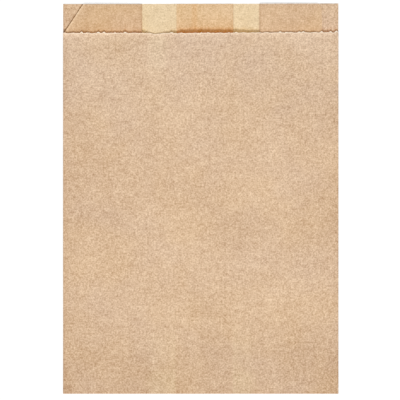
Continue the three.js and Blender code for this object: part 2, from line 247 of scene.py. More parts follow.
# The pulp: how many clouds, grains or fibres to the metre, and how strongly they show
MOTTLE = ((520, 0.24), (260, 0.12), (130, 0.085), (64, 0.07), (31, 0.08), (15, 0.085))
GRAIN_SCALE, GRAIN = 1150, 1.15
FINE_SCALE, FINE = 4200, 0.25
STRAND_SCALE, STRANDS = (5200, 1300, 4000), 0.14
WARM_SCALE, WARM = 37, 0.1
SPLINTER_SCALE, SPLINTER_PATCHES, SPLINTER_STRETCH = 330, 260, (1.0, 0.3, 1.0)
SPLINTER_REACH, SPLINTER_SHARE = 0.16, 0.35
INNER_GRAIN, INNER_OFFSET = 0.75, 0.02
OUTER_ROUGHNESS, INNER_ROUGHNESS, ROUGHNESS_SWING = 0.74, 0.86, 0.16
RELIEF = 0.012 * MM
# Ways in which a colour shifts, in light values
TONE_SHIFT = (0.79, 0.715, 0.56)
PALE_SHIFT = (0.0, 0.014, 0.024)
WARM_SHIFT = (0.25, -0.05, -0.6)
# Painted shade towards folds, creases, the lap's edge and past the step, and darker towards the
# sides, the bottom and the left gusset: how much darker the paper looks at each place, and how far
# that reaches
LEFT_SHADE, RIGHT_SHADE, SIDE_REACH = 0.055, 0.03, 8 * MM
BOTTOM_SHADE, BOTTOM_START, BOTTOM_END = 0.06, 8 * MM, 42 * MM
FOLD_SHADE, SIDE_FOLD_REACH, BOTTOM_FOLD_REACH = 0.06, 0.6 * MM, 0.7 * MM
CREASE_SHADE, CREASE_REACH = 0.12, 0.6 * MM
LAP_SHADE, LAP_REACH = 0.1, 0.6 * MM
STEP_SHADE, STEP_REACH = 0.12, 1.0 * MM
# Painted highlight on the right gusset's front ply just before the step
STEP_HIGHLIGHT, STEP_HIGHLIGHT_REACH = 0.08, 0.7 * MM
GUSSET_SHADE, GUSSET_BACK_SHADE = 0.025, 0.02
# Painted shade along the gusset plies' cut edges: share and reach
CUT_SHADE_SHARE, CUT_SHADE_REACH = 0.75, 0.75 * MM
# The pale rim along the torn edge, partly the thinned paper's own colour and partly a painted
# highlight: how strong it is close to the edge and further off
RIM_AND_HIGHLIGHT_NEAR, RIM_AND_HIGHLIGHT_NEAR_REACH = 0.75, 0.45 * MM
RIM_AND_HIGHLIGHT_WIDE, RIM_AND_HIGHLIGHT_WIDE_REACH = 0.3, 1.8 * MM
# How far the front stands off the back where the table stops shining through
TOUCH_START, TOUCH_END, TOUCH_RUN, TOUCH_SHARE = 0.15 * MM, 0.7 * MM, 7 * MM, 0.4
STAIN_SHARE, OUTER_STAIN, FIBRE_SHARE = 0.75, 0.3, 0.85
# The slanted cut's painted shadow and the painted highlight right of it: edges, and strength
SLANT_EDGE, SLANT_SHADOW, SLANT_SHADOW_FROM = 0.1 * MM, -0.42, -0.75 * MM
SLANT_FOOT, SLANT_FOOT_REACH = -0.8 * MM, 1.5 * MM
SLANT_HIGHLIGHT, SLANT_HIGHLIGHT_FROM, SLANT_HIGHLIGHT_TO = 0.24, 0.3 * MM, 1.6 * MM
# Painted shadow below the front's edge, warm as if lit through the front: close by it reaches as
# far as the air below is high
PAINTED_SHADOW_NEAR, PAINTED_SHADOW_REACH, PAINTED_SHADOW_LEAST = 0.75, 1.1, 0.2 * MM
PAINTED_SHADOW_WIDE, PAINTED_SHADOW_WIDE_REACH = 0.3, 6 * MM
PAINTED_SHADOW_START, PAINTED_SHADOW_END = 0.15 * MM, 1.5 * MM
WHITE = (1.0, 1.0, 1.0, 1.0)
# How finely the sheet is divided
FOLD_STEPS = 10
BEND_STEPS = 12
LEAST_STEP = 0.004 * MM
PANEL_PITCH = 1.55 * MM
ROW_PITCH = 3.0 * MM
EDGE_PITCH = 0.31 * MM
RIM_MARK = 0.8 * MM
EDGE_SHARES = (0.25, 0.45, 0.62, 0.76, 0.87, 0.95, 0.985)
SHARP_ANGLE = math.radians(50)
# Small nicks along a cut: spacing and strength of the coarse, fine and hair-thin ones
NICK_COARSE, COARSE_SHARE = 0.9 * MM, 0.6
NICK_FINE, FINE_SHARE = 0.35 * MM, 0.5
NICK_HAIR, HAIR_SHARE, HAIR_LEAST = 0.5 * MM, 5, 0.75
LIP_TEETH, LIP_NICKS = 0.35, 0.5
COCKLE_INSET = 6 * MM
PASTE_WAVE, PASTE_WANDER, PASTE_ROUND = 7 * MM, 0.25 * MM, 0.3 * MM
# Start values of the random draws
COCKLE_SEED, FRONT_SEED, LIP_SEED, SEAM_SEED, FLAP_SEED, FIBRE_SEED = 11, 21, 31, 41, 51, 61
# A torn fibre: how deep it is rooted, and in millimetres its lengths and radii
FIBRE_ROOT = 0.15 * MM
FIBRE_LENGTHS, FIBRE_RADII = (0.2, 0.75), (0.008, 0.014)
FIBRE_LEAN, FIBRE_LIFTS, FIBRE_BOW = 0.5, (-0.05, 0.35), 0.35
FIBRE_STEPS, FIBRE_SIDES = 5, 3
# Places of the plies and folds in the chain, from the lap's inner edge to its outer edge
LEFT_GUSSET_BACK, FRONT, RIGHT_GUSSET_FRONT, RIGHT_GUSSET_BACK = 2, 6, 8, 10
FRONT_LINKS = (5, 6, 7)
LEFT_GUSSET_LINKS = (1, 2, 3, 4)
GUSSET_TIP_LINKS = (3, 4, 8, 9)
INNER_UP_LINKS = (0, 4, 8, 12)
OUTER_UP_LINKS = (2, 10)
SHADED_EDGE_LINKS = (4, 8, 10)
BACK_LINKS = (0, 12)


def steps_between(marks, pitch):
    """The marks in order, with even steps of at most the pitch between them."""
    marks = np.unique(np.asarray(marks, float))
    marks = marks[np.insert(np.diff(marks) > LEAST_STEP, 0, True)]
    runs = [
        np.linspace(a, b, max(1, math.ceil((b - a) / pitch)), endpoint=False)
        for a, b in zip(marks[:-1], marks[1:])
    ]
    return np.concatenate([*runs, marks[-1:]])


class FoldedWeb:
    """The web's path through every ply and fold, across the bag and along it."""

    def __init__(self, sizes):
        self.size = s = sizes
        self.half = s.width / 2
        self.pitch = s.paper + s.ply_gap
        self.lap_left = s.lap_shift - s.lap / 2
        self.lap_right = s.lap_shift + s.lap / 2
        self.lap_foot = self.lap_left - s.lap_ramp
        self.tip = self.half - s.gusset
        self.dip_end = self.tip - s.tip_clearance
        self.dip_start = self.dip_end - s.dip_run
        self.arch_foot = self.lap_left - s.arch_lead
        self.arch_top = self.arch_foot + s.arch_run
        self.arch_fall = self.lap_right - s.arch_tail
        self.arch_end = self.tip + s.tip_overlap
        tips = np.array([-self.tip, self.tip])
        self.pressed_level = self.back_level(tips).max() + 3 * self.pitch
        self.pressed_height = self.pressed_level + s.paper / 2
        self.bend_arc = math.pi * s.bend
        self.bend_centre_z = self.pressed_height + s.bend
        self.bottom_y = s.bend + self.pressed_height - s.height / 2
        self.mouth = s.height / 2 - self.bottom_y
        self.flap_length = s.tuck + s.lip
        self.tuck_end = s.tuck + s.clearance
        self.flap_end = self.flap_length + s.clearance
        self.tuck_base = self.pressed_height + 2 * s.bend
        self.flap_base = 2 * self.pitch
        self.lip_foot = self.mouth - s.lip
        self.torn_foot = self.lip_foot - s.torn_band
        self.links = self.chain()

    # Heights

    def spring(self, v):
        return smoothstep(v, self.flap_length, self.flap_length + self.size.spring_run)

    def base_height(self, v):
        s = self.size
        over_tuck = 1 - smoothstep(v, self.tuck_end, self.tuck_end + s.tuck_ramp)
        over_flap = 1 - smoothstep(v, self.flap_end, self.flap_end + s.flap_ramp)
        return mix(self.flap_base * over_flap, self.tuck_base, over_tuck)

    def back_level(self, x, v=None):
        s = self.size
        on_lap = smoothstep(x, self.lap_foot, self.lap_left - s.paper)
        off_lap = smoothstep(x, self.lap_right, self.lap_right + s.lap_ramp)
        return s.paper / 2 + (s.paper + s.lap_gap) * (on_lap - off_lap)

    def under_lap_level(self, x, v):
        return np.full(np.broadcast(x, v).shape, self.size.paper / 2)

    def gap_from(self, away, v):
        s = self.size
        bow = np.sin(math.pi / 2 * np.clip(away, 0, 1))
        return s.ply_gap + self.spring(v) * (s.crease_spring + s.gusset_spring * bow)

    def from_side(self, x):
        return (self.half - np.abs(x)) / self.size.gusset

    def gusset_back_level(self, x, v):
        s = self.size
        return self.back_level(x) + s.paper + s.ply_gap + s.back_spring * self.spring(v)

    def gusset_front_level(self, x, v):
        below = self.gusset_back_level(x, v)
        gap = self.gap_from(1 - self.from_side(x), v)
        return below + self.size.paper + gap + self.lean(x, v) - self.settle(x, v)

    def lean(self, x, v):
        """The right gusset's front ply lies low at the side and leans forward at its fold."""
        turn = math.pi * np.clip(self.from_side(x), 0, 1)
        return -self.size.lean * self.spring(v) * np.cos(turn) * (x > 0)

    def settle(self, x, v):
        inside = 1 - np.clip(self.from_side(x), 0, 1)
        return self.size.lip_settle * inside * smoothstep(v, self.lip_foot, self.mouth)

    def held_level(self, x, v):
        gusset = self.gap_from(1 - self.from_side(x), v) + self.gap_from(self.from_side(x), v)
        return self.gusset_back_level(x, v) + gusset + 2 * self.size.paper

    def curl(self, x, v):
        s = self.size
        rise = mix(s.curl_left, s.curl_right, (x + self.half) / s.width)
        rise = rise + s.curl_side * self.at_left_side(x)
        return rise * np.clip(1 - (self.lip_foot - v) / s.curl_run, 0, 1) ** 2

    def at_left_side(self, x):
        return fading(np.maximum(x + self.half, 0), self.size.side_run)

    def front_level(self, x, v):
        """The front spans the gussets. At the mouth it sinks, arches up and comes down."""
        s = self.size
        rim = np.maximum(np.abs(x), self.tip)
        across = np.clip((x + self.tip) / (2 * self.tip), 0, 1)
        held = mix(self.held_level(-rim, v), self.held_level(rim, v), across)
        rise = s.arch * smoothstep(x, self.arch_foot, self.arch_top)
        sunk = self.back_level(x) + s.paper + s.dip_gap + rise
        free = smoothstep(x, -self.dip_end, -self.dip_start) - smoothstep(
            x, self.arch_fall, self.arch_end)
        share = free * smoothstep(v, self.lip_foot - s.dip_length, self.lip_foot)
        return mix(held, sunk, share) + self.curl(x, v) + self.bridge(v) + self.cockles(x, v)

    def bridge(self, v):
        """How far the stiff front stands off the gussets where the back comes down."""
        above = np.maximum(v, 0.0)
        settling = self.tuck_base * (1 - smoothstep(above, 0.0, self.size.front_settle))
        return np.maximum(settling - self.base_height(above), 0.0) * (v > 0)

    def cockles(self, x, v):
        s = self.size
        waves = 0.5 + 0.5 * np.clip(cloud(x, v, s.cockle_pitch, COCKLE_SEED), -1, 1)
        inside = smoothstep(self.half - np.abs(x), 0.0, COCKLE_INSET)
        return s.cockle * waves * self.spring(v) * inside

    # The knife's cut, as a drop below the top of the lip

    def teeth(self, x):
        s = self.size
        beat = np.cos(math.pi * x / s.tooth_beat)
        return s.tooth_depth * np.cos(math.pi * x / s.tooth_pitch) * beat

    def tufts(self, x):
        s = self.size
        rise = np.zeros(np.shape(x))
        for share, height in TUFTS:
            away = np.abs(x - share * self.half) / (s.tuft_width / 2)
            rise = np.maximum(rise, height * MM * (1 - away ** 2))
        return rise

    def nicks(self, x, seed):
        s = self.size
        coarse = value_noise(x, NICK_COARSE, seed)
        fine = value_noise(x, NICK_FINE, seed + 1)
        hair = np.maximum(value_noise(x, NICK_HAIR, seed + 2) - HAIR_LEAST, 0) * HAIR_SHARE
        return s.nick * (COARSE_SHARE * coarse + FINE_SHARE * fine - hair)

    def front_drop(self, x):
        s = self.size
        skew = -s.skew * x / s.width
        sag = s.sag * hump(x - (s.sag_inset - self.tip), s.sag_width / 2)
        off_lap = (x - s.lap_shift) / (0.6 * s.lap)
        sag = sag + s.lap_sag * np.exp(-(off_lap ** 4)) - s.side_rise * self.at_left_side(x)
        return s.lip + skew + sag + self.teeth(x) - self.tufts(x) + self.nicks(x, FRONT_SEED)

    def full_drop(self, x):
        return self.front_drop(np.sign(x) * self.half)

    def lip_drop(self, x):
        s = self.size
        rough = np.maximum(LIP_TEETH * self.teeth(x) + LIP_NICKS * self.nicks(x, LIP_SEED), 0)
        return rough + s.lip_skew * (self.half - x) / s.width

    def slant_drop(self, x):
        s = self.size
        across = np.clip((x + self.half - s.slant_inset) / (s.slant - s.slant_inset), 0, 1)
        return self.front_drop(np.array(-self.half)) * (1 - across) + self.lip_drop(x) * across

    def step_drop(self, x):
        s = self.size
        past = self.half - x - s.step
        corner = np.clip(1 - (past - s.kerf) / s.corner_width, 0, 1)
        inside = s.corner_depth * corner ** 2 + self.lip_drop(x)
        return np.where(past <= 0, self.front_drop(np.array(self.half)), inside)

    # The chain of plies and folds, from the lap's inner edge round to its outer edge

    def ply(self, start, end, level, drop, marks):
        return {"kind": "ply", "start": start, "end": end, "level": level, "drop": drop,
                "marks": marks}

    def fold(self, edge, side, low, high, drop):
        return {"kind": "fold", "edge": edge, "side": side, "low": low, "high": high, "drop": drop}

    def fold_start(self, edge, side, low, high):
        return lambda v: edge - side * np.abs(high(np.array(edge), v) - low(np.array(edge), v)) / 2

    def chain(self):
        s = self.size
        left = s.paper / 2 - self.half
        right = -left
        back, under = self.back_level, self.under_lap_level
        low, high, front = self.gusset_back_level, self.gusset_front_level, self.front_level
        back_left = self.fold_start(left, -1, back, low)
        tip_left = self.fold_start(-self.tip, 1, low, high)
        front_left = self.fold_start(left, -1, high, front)
        front_right = self.fold_start(right, 1, front, high)
        tip_right = self.fold_start(self.tip, -1, high, low)
        back_right = self.fold_start(right, 1, low, back)
        lap_marks = (self.lap_left, self.lap_left - s.paper, self.lap_foot)
        corner_x = self.half - s.step - s.kerf
        step_marks = (self.half - s.step, corner_x, corner_x - s.corner_width)
        rim_x = self.half - RIM_MARK
        front_marks = (-rim_x, -self.tip, -self.dip_end, -self.dip_start, self.dip_end,
                       self.tip, rim_x)
        slant_marks = (s.slant_inset - self.half, s.slant - self.half)
        fold, ply = self.fold, self.ply
        return [
            ply(lambda v: self.lap_right, back_left, back, self.lip_drop, lap_marks),
            fold(left, -1, back, low, self.lip_drop),
            ply(back_left, tip_left, low, self.lip_drop, ()),
            fold(-self.tip, 1, low, high, self.lip_drop),
            ply(tip_left, front_left, high, self.slant_drop, slant_marks),
            fold(left, -1, high, front, self.full_drop),
            ply(front_left, front_right, front, self.front_drop, front_marks),
            fold(right, 1, front, high, self.full_drop),
            ply(front_right, tip_right, high, self.step_drop, step_marks),
            fold(self.tip, -1, high, low, self.lip_drop),
            ply(tip_right, back_right, low, self.lip_drop, ()),
            fold(right, 1, low, back, self.lip_drop),
            ply(back_right, lambda v: self.lap_left, under, self.lip_drop, ()),
        ]

    def ends(self, link, v=0.0):
        """Where a ply starts and ends across the bag, pressed flat."""
        return float(link["start"](v)), float(link["end"](v))

    def places(self, pitch):
        """Numbers along the chain: a link's number plus the share of the way along it."""
        found = []
        for i, link in enumerate(self.links):
            if link["kind"] == "fold":
                found.append(i + np.arange(FOLD_STEPS) / FOLD_STEPS)
                continue
            start, end = self.ends(link)
            low, high = min(start, end), max(start, end)
            marks = [x for x in link["marks"] if low + LEAST_STEP < x < high - LEAST_STEP]
            xs = steps_between([low, *marks, high], pitch)
            shares = np.sort((xs - start) / (end - start))
            found.append(i + shares[:-1])
        return np.concatenate([*found, [len(self.links)]])

    def path(self, places, v):
        """Points of the web's middle: across the bag, and over the back's outer skin."""
        number = np.minimum(np.floor(places).astype(int), len(self.links) - 1)
        share = places - number
        x = np.zeros(places.shape)
        h = np.zeros(places.shape)
        v = np.broadcast_to(v, places.shape)
        for i, link in enumerate(self.links):
            here = number == i
            if not here.any():
                continue
            t, along = share[here], v[here]
            if link["kind"] == "ply":
                x[here] = mix(link["start"](along), link["end"](along), t)
                h[here] = link["level"](x[here], along)
                continue
            edge = np.full(t.shape, link["edge"])
            low, high = link["low"](edge, along), link["high"](edge, along)
            radius = np.abs(high - low) / 2
            turn = math.pi * t
            x[here] = edge - link["side"] * radius * (1 - np.sin(turn))
            h[here] = mix(low, high, (1 - np.cos(turn)) / 2)
        return x, h

    def drops(self, places):
        number = np.minimum(np.floor(places).astype(int), len(self.links) - 1)
        x, _ = self.path(places, self.mouth)
        found = np.zeros(places.shape)
        for i, link in enumerate(self.links):
            here = number == i
            found[here] = link["drop"](x[here])
        return found

    def normals(self, places, v):
        nudge = 1e-4
        xa, ha = self.path(np.minimum(places + nudge, len(self.links)), v)
        xb, hb = self.path(np.maximum(places - nudge, 0), v)
        dx, dh = xa - xb, ha - hb
        reach = np.hypot(dx, dh)
        return -dh / reach, dx / reach

    def to_space(self, x, h, v):
        """From the section to the bag. Below 0 the web turns under and runs back."""
        s = self.size
        v = np.broadcast_to(v, x.shape)
        turn = np.clip(-v / s.bend, 0, math.pi)
        reach = s.bend + h
        beyond = np.maximum(0, -v - self.bend_arc)
        under_y = self.bottom_y - reach * np.sin(turn) + beyond
        under_z = self.bend_centre_z + reach * np.cos(turn)
        above = v >= 0
        y = np.where(above, self.bottom_y + v, under_y)
        z = np.where(above, self.base_height(v) + h, under_z)
        return np.stack([x, y, z], axis=-1)

    def skin(self, places, v, side):
        x, h = self.path(places, v)
        nx, nh = self.normals(places, v)
        shift = side * self.size.paper / 2
        return self.to_space(x + nx * shift, h + nh * shift, v)

    def mouth_cut(self, places):
        return self.mouth - self.drops(places)

    def bottom_cut(self, places):
        _, h = self.path(places, 0.0)
        return -self.size.tuck - self.drops(places) - self.bend_arc + math.pi * h

    def rows(self):
        """Rows across the web, each as its places and how far up the bag each one is."""
        s = self.size
        coarse, fine = self.places(PANEL_PITCH), self.places(EDGE_PITCH)
        inner = -self.bend_arc
        low = [(fine, mix(self.bottom_cut(fine), inner, share)) for share in (0.0, 0.04, 0.15)]
        low += [(coarse, mix(self.bottom_cut(coarse), inner, share)) for share in (0.4, 0.7)]
        bend = np.linspace(inner, 0, BEND_STEPS + 1)
        body = steps_between(
            [0.0, RIM_MARK, self.tuck_end, self.tuck_end + s.tuck_ramp, self.flap_end,
             self.flap_end + s.flap_ramp, self.lip_foot - s.dip_length, self.torn_foot],
            ROW_PITCH)[1:]
        plain = [(coarse, np.full(coarse.shape, v)) for v in [*bend, *body]]
        top = [(fine, mix(self.torn_foot, self.mouth_cut(fine), share))
               for share in (*EDGE_SHARES, 1.0)]
        return low + plain + top

    def air_below(self, x):
        """Height of the front's edge over the ply that shows above it, less the side's curl,
        as the light comes in from beside there."""
        gusset = np.abs(x) > self.tip
        past_step = x > self.half - self.size.step
        below = np.where(gusset, self.gusset_front_level(x, self.lip_foot), self.back_level(x))
        below = np.where(past_step, self.gusset_back_level(x, self.lip_foot), below)
        side = self.size.curl_side * self.at_left_side(x)
        return np.maximum(self.front_level(x, self.lip_foot) - below - self.size.paper - side, 0)

    def from_slant(self, link, x, v):
        """How far right of the slanted cut a point of the left gusset lies."""
        s = self.size
        run = s.slant - s.slant_inset
        rise = s.slant_inset + (v - self.lip_foot) * run / s.lip
        away = (x + self.half - rise) * math.cos(math.atan2(run, s.lip))
        return np.where(np.isin(link, LEFT_GUSSET_LINKS), away, s.width)

    def shade(self, link, x, v):
        """Painted shade towards the folds, the gusset creases, the lap's edge and past the step, a
        painted highlight just before the step, and darker towards the bag's rim and on the left
        gusset.
        """
        s = self.size
        near_left = np.maximum(x + self.half, 0)
        near_right = np.maximum(self.half - x, 0)
        past_step = x - (self.half - s.step)
        sides = LEFT_SHADE * fading(near_left, SIDE_REACH)
        sides = sides + RIGHT_SHADE * fading(near_right, SIDE_REACH)
        bottom = BOTTOM_SHADE * (1 - smoothstep(v, BOTTOM_START, BOTTOM_END))
        side_fold = fading(np.minimum(near_left, near_right), SIDE_FOLD_REACH)
        bottom_fold = fading(np.maximum(v, 0), BOTTOM_FOLD_REACH)
        crease = hump(np.abs(x) - self.tip, CREASE_REACH) * np.isin(link, GUSSET_TIP_LINKS)
        lap_edge = hump(self.lap_right - x, LAP_REACH) * (link == BACK_LINKS[0])
        beyond = (past_step > 0) & (link == RIGHT_GUSSET_BACK)
        total = (sides + bottom) * np.isin(link, FRONT_LINKS)
        total = total + FOLD_SHADE * np.maximum(side_fold, bottom_fold)
        total = total + CREASE_SHADE * crease + LAP_SHADE * lap_edge
        total = total + GUSSET_SHADE * np.isin(link, LEFT_GUSSET_LINKS)
        total = total + GUSSET_BACK_SHADE * (link == LEFT_GUSSET_BACK)
        total = total + STEP_SHADE * fading(np.maximum(past_step, 0), STEP_REACH) * beyond
        before = fading(np.abs(past_step), STEP_HIGHLIGHT_REACH) * (link == RIGHT_GUSSET_FRONT)
        return total - STEP_HIGHLIGHT * before

    def touching(self, x, v):
        """Where the front lies on a single back ply, so that the table shines through."""
        s = self.size
        free = np.abs(x) < self.tip
        on_lap = (x > self.lap_left) & (x < self.lap_right)
        air = self.front_level(x, v) - self.back_level(x) - s.paper
        faded = smoothstep(self.tip - np.abs(x), 0.0, TOUCH_RUN)
        return free * ~on_lap * faded * (1 - smoothstep(air, TOUCH_START, TOUCH_END))

    def plies_at(self, x, v):
        """How many plies lie on each other, the turned-under ones and, below the band
        along its torn edge, the front included."""
        on_lap = (x > self.lap_left) & (x < self.lap_right)
        in_gusset = np.abs(x) > self.tip
        top = self.mouth - v
        left_cut = self.slant_drop(np.clip(x, -self.half, 0))
        right_cut = self.step_drop(np.clip(x, 0, self.half))
        gusset_front = in_gusset & (top > np.where(x < 0, left_cut, right_cut))
        front = v < self.torn_foot
        count = 1.0 + on_lap + in_gusset + gusset_front + front
        return count + np.where(v < self.size.tuck, count, 0) + (v < self.flap_length)


# Meshes

def new_object(name, vertices, faces, material, attributes=None, sharp_angle=None):
    mesh = bpy.data.meshes.new(name)
    mesh.from_pydata(vertices, [], faces)
    mesh.materials.append(material)
    mesh.polygons.foreach_set("use_smooth", np.ones(len(mesh.polygons), bool))
    for label, values in (attributes or {}).items():
        kind = "FLOAT_VECTOR" if values.ndim == 2 else "FLOAT"
        field = "vector" if values.ndim == 2 else "value"
        made = mesh.attributes.new(label, kind, "POINT")
        made.data.foreach_set(field, values.astype(np.float32).ravel())
    if sharp_angle is not None:
        mesh.set_sharp_from_angle(angle=sharp_angle)
    mesh.validate()
    mesh.update()
    item = bpy.data.objects.new(name, mesh)
    bpy.context.scene.collection.objects.link(item)
    return item


def band_faces(low, high, low_ids, high_ids):
    """Faces between two rows of vertices: squares where the places agree, else triangles."""
    if low.size == high.size and np.allclose(low, high):
        return np.stack([low_ids[:-1], low_ids[1:], high_ids[1:], high_ids[:-1]], axis=1).tolist()
    faces = []
    i = j = 0
    while i < low.size - 1 or j < high.size - 1:
        next_low = low[i + 1] if i < low.size - 1 else math.inf
        next_high = high[j + 1] if j < high.size - 1 else math.inf
        if next_low <= next_high:
            faces.append([low_ids[i], low_ids[i + 1], high_ids[j]])
            i += 1
        else:
            faces.append([low_ids[i], high_ids[j + 1], high_ids[j]])
            j += 1
    return faces


def sheet_points(web, rows):
    """Points of both skins, row by row, with their numbers and what is known of each one."""
    panel_places = web.places(PANEL_PITCH)
    flat_x, flat_h = web.path(panel_places, 0.0)
    steps = np.hypot(np.diff(flat_x), np.diff(flat_h))
    flat_length = np.concatenate([[0], np.cumsum(steps)])
    fields = {"inner": [], "link": [], "across": [], "along": [], "x": [], "from_cut": []}
    points = []
    ids = {1: [], -1: []}
    count = 0
    for places, v in rows:
        known = {
            "link": np.minimum(places.astype(int), len(web.links) - 1),
            "across": np.interp(places, panel_places, flat_length),
            "along": v,
            "x": web.path(places, v)[0],
            "from_cut": np.minimum(web.mouth_cut(places) - v, v - web.bottom_cut(places)),
        }
        for side in (1, -1):
            points.append(web.skin(places, v, side))
            ids[side].append(np.arange(count, count + places.size))
            count += places.size
            fields["inner"].append(np.full(places.shape, 0.0 if side > 0 else 1.0))
            for label, values in known.items():
                fields[label].append(values)
    joined = {label: np.concatenate(values) for label, values in fields.items()}
    return np.concatenate(points), ids, joined


def sheet_faces(rows, ids):
    """Faces of both skins, and of the cut edges all round."""
    faces = []
    for r in range(len(rows) - 1):
        (low, _), (high, _) = rows[r], rows[r + 1]
        outer = band_faces(low, high, ids[1][r], ids[1][r + 1])
        inner = band_faces(low, high, ids[-1][r], ids[-1][r + 1])
        faces += outer + [face[::-1] for face in inner]
        faces.append([ids[1][r][0], ids[1][r + 1][0], ids[-1][r + 1][0], ids[-1][r][0]])
        faces.append([ids[1][r + 1][-1], ids[1][r][-1], ids[-1][r][-1], ids[-1][r + 1][-1]])
    bottom, top = (ids[1][0], ids[-1][0]), (ids[1][-1], ids[-1][-1])
    faces += np.stack([bottom[0][1:], bottom[0][:-1], bottom[1][:-1], bottom[1][1:]], 1).tolist()
    faces += np.stack([top[0][:-1], top[0][1:], top[1][1:], top[1][:-1]], 1).tolist()
    return faces


def sheet_attributes(web, known):
    """What the paper shows at each point, for its material."""
    size = web.size
    along, x, inner, link = known["along"], known["x"], known["inner"], known["link"]
    from_cut = known["from_cut"]
    plies = web.plies_at(x, along)
    paste_middle = web.lap_left + size.paste_inset
    on_paste = np.exp(-((x - paste_middle) / (0.6 * size.paste_width)) ** 4)
    front = np.isin(link, FRONT_LINKS)
    # Pale torn rim: partly the paper's own colour, partly a painted highlight
    rim = RIM_AND_HIGHLIGHT_NEAR * fading(from_cut, RIM_AND_HIGHLIGHT_NEAR_REACH) + RIM_AND_HIGHLIGHT_WIDE * fading(from_cut, RIM_AND_HIGHLIGHT_WIDE_REACH)
    faces_up = np.where(inner > 0.5, np.isin(link, INNER_UP_LINKS), np.isin(link, OUTER_UP_LINKS))
    before_step = x < web.half - size.step - size.corner_width
    # Painted shade along the gusset plies' cut edges
    shaded_cut_edge = np.isin(link, SHADED_EDGE_LINKS) & (x > size.slant - web.half)
    shaded_cut_edge = shaded_cut_edge & (before_step | (link == RIGHT_GUSSET_BACK))
    pale_front = smoothstep(along, 0.6 * web.lip_foot, web.lip_foot) * front
    torn_depth = np.maximum(web.tufts(x), 0.1 * MM)
    return {
        "web_place": np.stack([known["across"], along, INNER_OFFSET * inner], axis=1),
        "inner_skin": inner,
        "one_ply": (plies < 1.5).astype(float),
        "two_plies": ((plies > 1.5) & (plies < 2.5)).astype(float),
        "touching": web.touching(x, along) * (link == FRONT),
        "pasted": on_paste * np.isin(link, BACK_LINKS) * mix(OUTER_STAIN, 1.0, inner),
        "torn": (1 - smoothstep(from_cut, 0.5 * torn_depth, torn_depth + 0.1 * MM)) * front,
        "rim": rim * front,
        "cut_edge_shade": hump(from_cut, CUT_SHADE_REACH) * shaded_cut_edge,
        "pale": np.maximum(pale_front, link == RIGHT_GUSSET_BACK),
        "air": web.air_below(x) * faces_up * (along > web.torn_foot),
        "above_front": along - (web.mouth - web.front_drop(x)),
        "from_slant": web.from_slant(link, x, along),
        "shade": web.shade(link, x, along),
    }


def fold_sheet(web):
    """The whole sheet with both skins and its cut edges, and what the paper shows where."""
    rows = web.rows()
    points, ids, known = sheet_points(web, rows)
    return points, sheet_faces(rows, ids), sheet_attributes(web, known)


def strip_mesh(sections):
    """A closed bar through the given sections, each a ring of points."""
    ring = len(sections[0])
    vertices = np.concatenate(sections)
    faces = []
    for r in range(len(sections) - 1):
        for i in range(ring):
            j = (i + 1) % ring
            a, b = r * ring, (r + 1) * ring
            faces.append([a + j, a + i, b + i, b + j])
    last = (len(sections) - 1) * ring
    faces.append(list(range(ring)))
    faces.append([last + i for i in reversed(range(ring))])
    return vertices, faces


def paste_bead(web, left, right, low, high, vs, seed):
    """A bead of dried paste between two plies, with wandering sides."""
    middle = (low + high) / 2
    sections = []
    for v in vs:
        a = left + PASTE_WANDER * value_noise(np.array(v), PASTE_WAVE, seed)
        b = right + PASTE_WANDER * value_noise(np.array(v), PASTE_WAVE, seed + 1)
        c, d = a + PASTE_ROUND, b - PASTE_ROUND
        x = np.array([a, c, d, b, d, c], float)
        h = np.array([middle, low, low, middle, high, high], float)
        sections.append(web.to_space(x, h, np.full(x.shape, v)))
    return strip_mesh(sections)


def join_parts(parts):
    vertices, faces, count = [], [], 0
    for part_vertices, part_faces in parts:
        vertices.append(part_vertices)
        faces += [[count + i for i in face] for face in part_faces]
        count += len(part_vertices)
    return np.concatenate(vertices), faces


def paste_beads(web):
    """One bead along the lap, and two under the flap that stop short of the lap's step."""
    size = web.size
    left = web.lap_left + size.paste_inset - size.paste_width / 2
    bend = np.linspace(-web.bend_arc, 0, BEND_STEPS + 1)
    body = np.arange(web.tuck_end, web.mouth - size.paste_end, ROW_PITCH)
    seam = paste_bead(web, left, left + size.paste_width, size.paper,
                      size.paper + size.lap_gap, [-size.tuck, *bend, *body], SEAM_SEED)
    middle = mix(size.tuck + size.tuck_ramp, web.flap_length, 0.5)
    vs = np.linspace(middle - size.flap_paste / 2, middle + size.flap_paste / 2, 4)
    reach = web.half - size.slant - size.flap_paste_inset
    low, high = size.paper - web.flap_base, 0.0
    spans = ((-reach, web.lap_foot - size.flap_paste_inset),
             (web.lap_left + size.flap_paste_inset, reach))
    flap = [paste_bead(web, a, b, low, high, vs, FLAP_SEED) for a, b in spans]
    return join_parts([seam, *flap])


def torn_fibres(web, count, seed):
    """Single fibres that stand out of the front's torn edge."""
    rng = np.random.default_rng(seed)
    turn = np.arange(FIBRE_SIDES) * 2 * math.pi / FIBRE_SIDES
    ring = np.stack([np.cos(turn), np.zeros(FIBRE_SIDES), np.sin(turn)], axis=1)
    parts = []
    for _ in range(count):
        place = np.array([FRONT + rng.uniform(0.01, 0.99)])
        v = web.mouth_cut(place) - FIBRE_ROOT
        root = web.skin(place, v, 0)[0]
        reach = FIBRE_ROOT + rng.uniform(*FIBRE_LENGTHS) * MM
        lean = rng.normal(0.0, FIBRE_LEAN)
        lift = rng.uniform(*FIBRE_LIFTS)
        bow = rng.normal(0.0, FIBRE_BOW)
        radius = rng.uniform(*FIBRE_RADII) * MM
        sections = []
        for t in np.linspace(0, 1, FIBRE_STEPS):
            bend = np.array([lean * t + bow * t * t, t, lift * t * t])
            taper = radius * (1 - 0.6 * t)
            sections.append(root + reach * bend + ring * taper)
        parts.append(strip_mesh(sections))
    return join_parts(parts)


# Materials

def linear(colour):
    """A colour as it shows, turned to the light values that a shader takes."""
    parts = np.asarray(colour, float)
    return (*np.where(parts <= 0.04045, parts / 12.92, ((parts + 0.055) / 1.055) ** 2.4), 1.0)


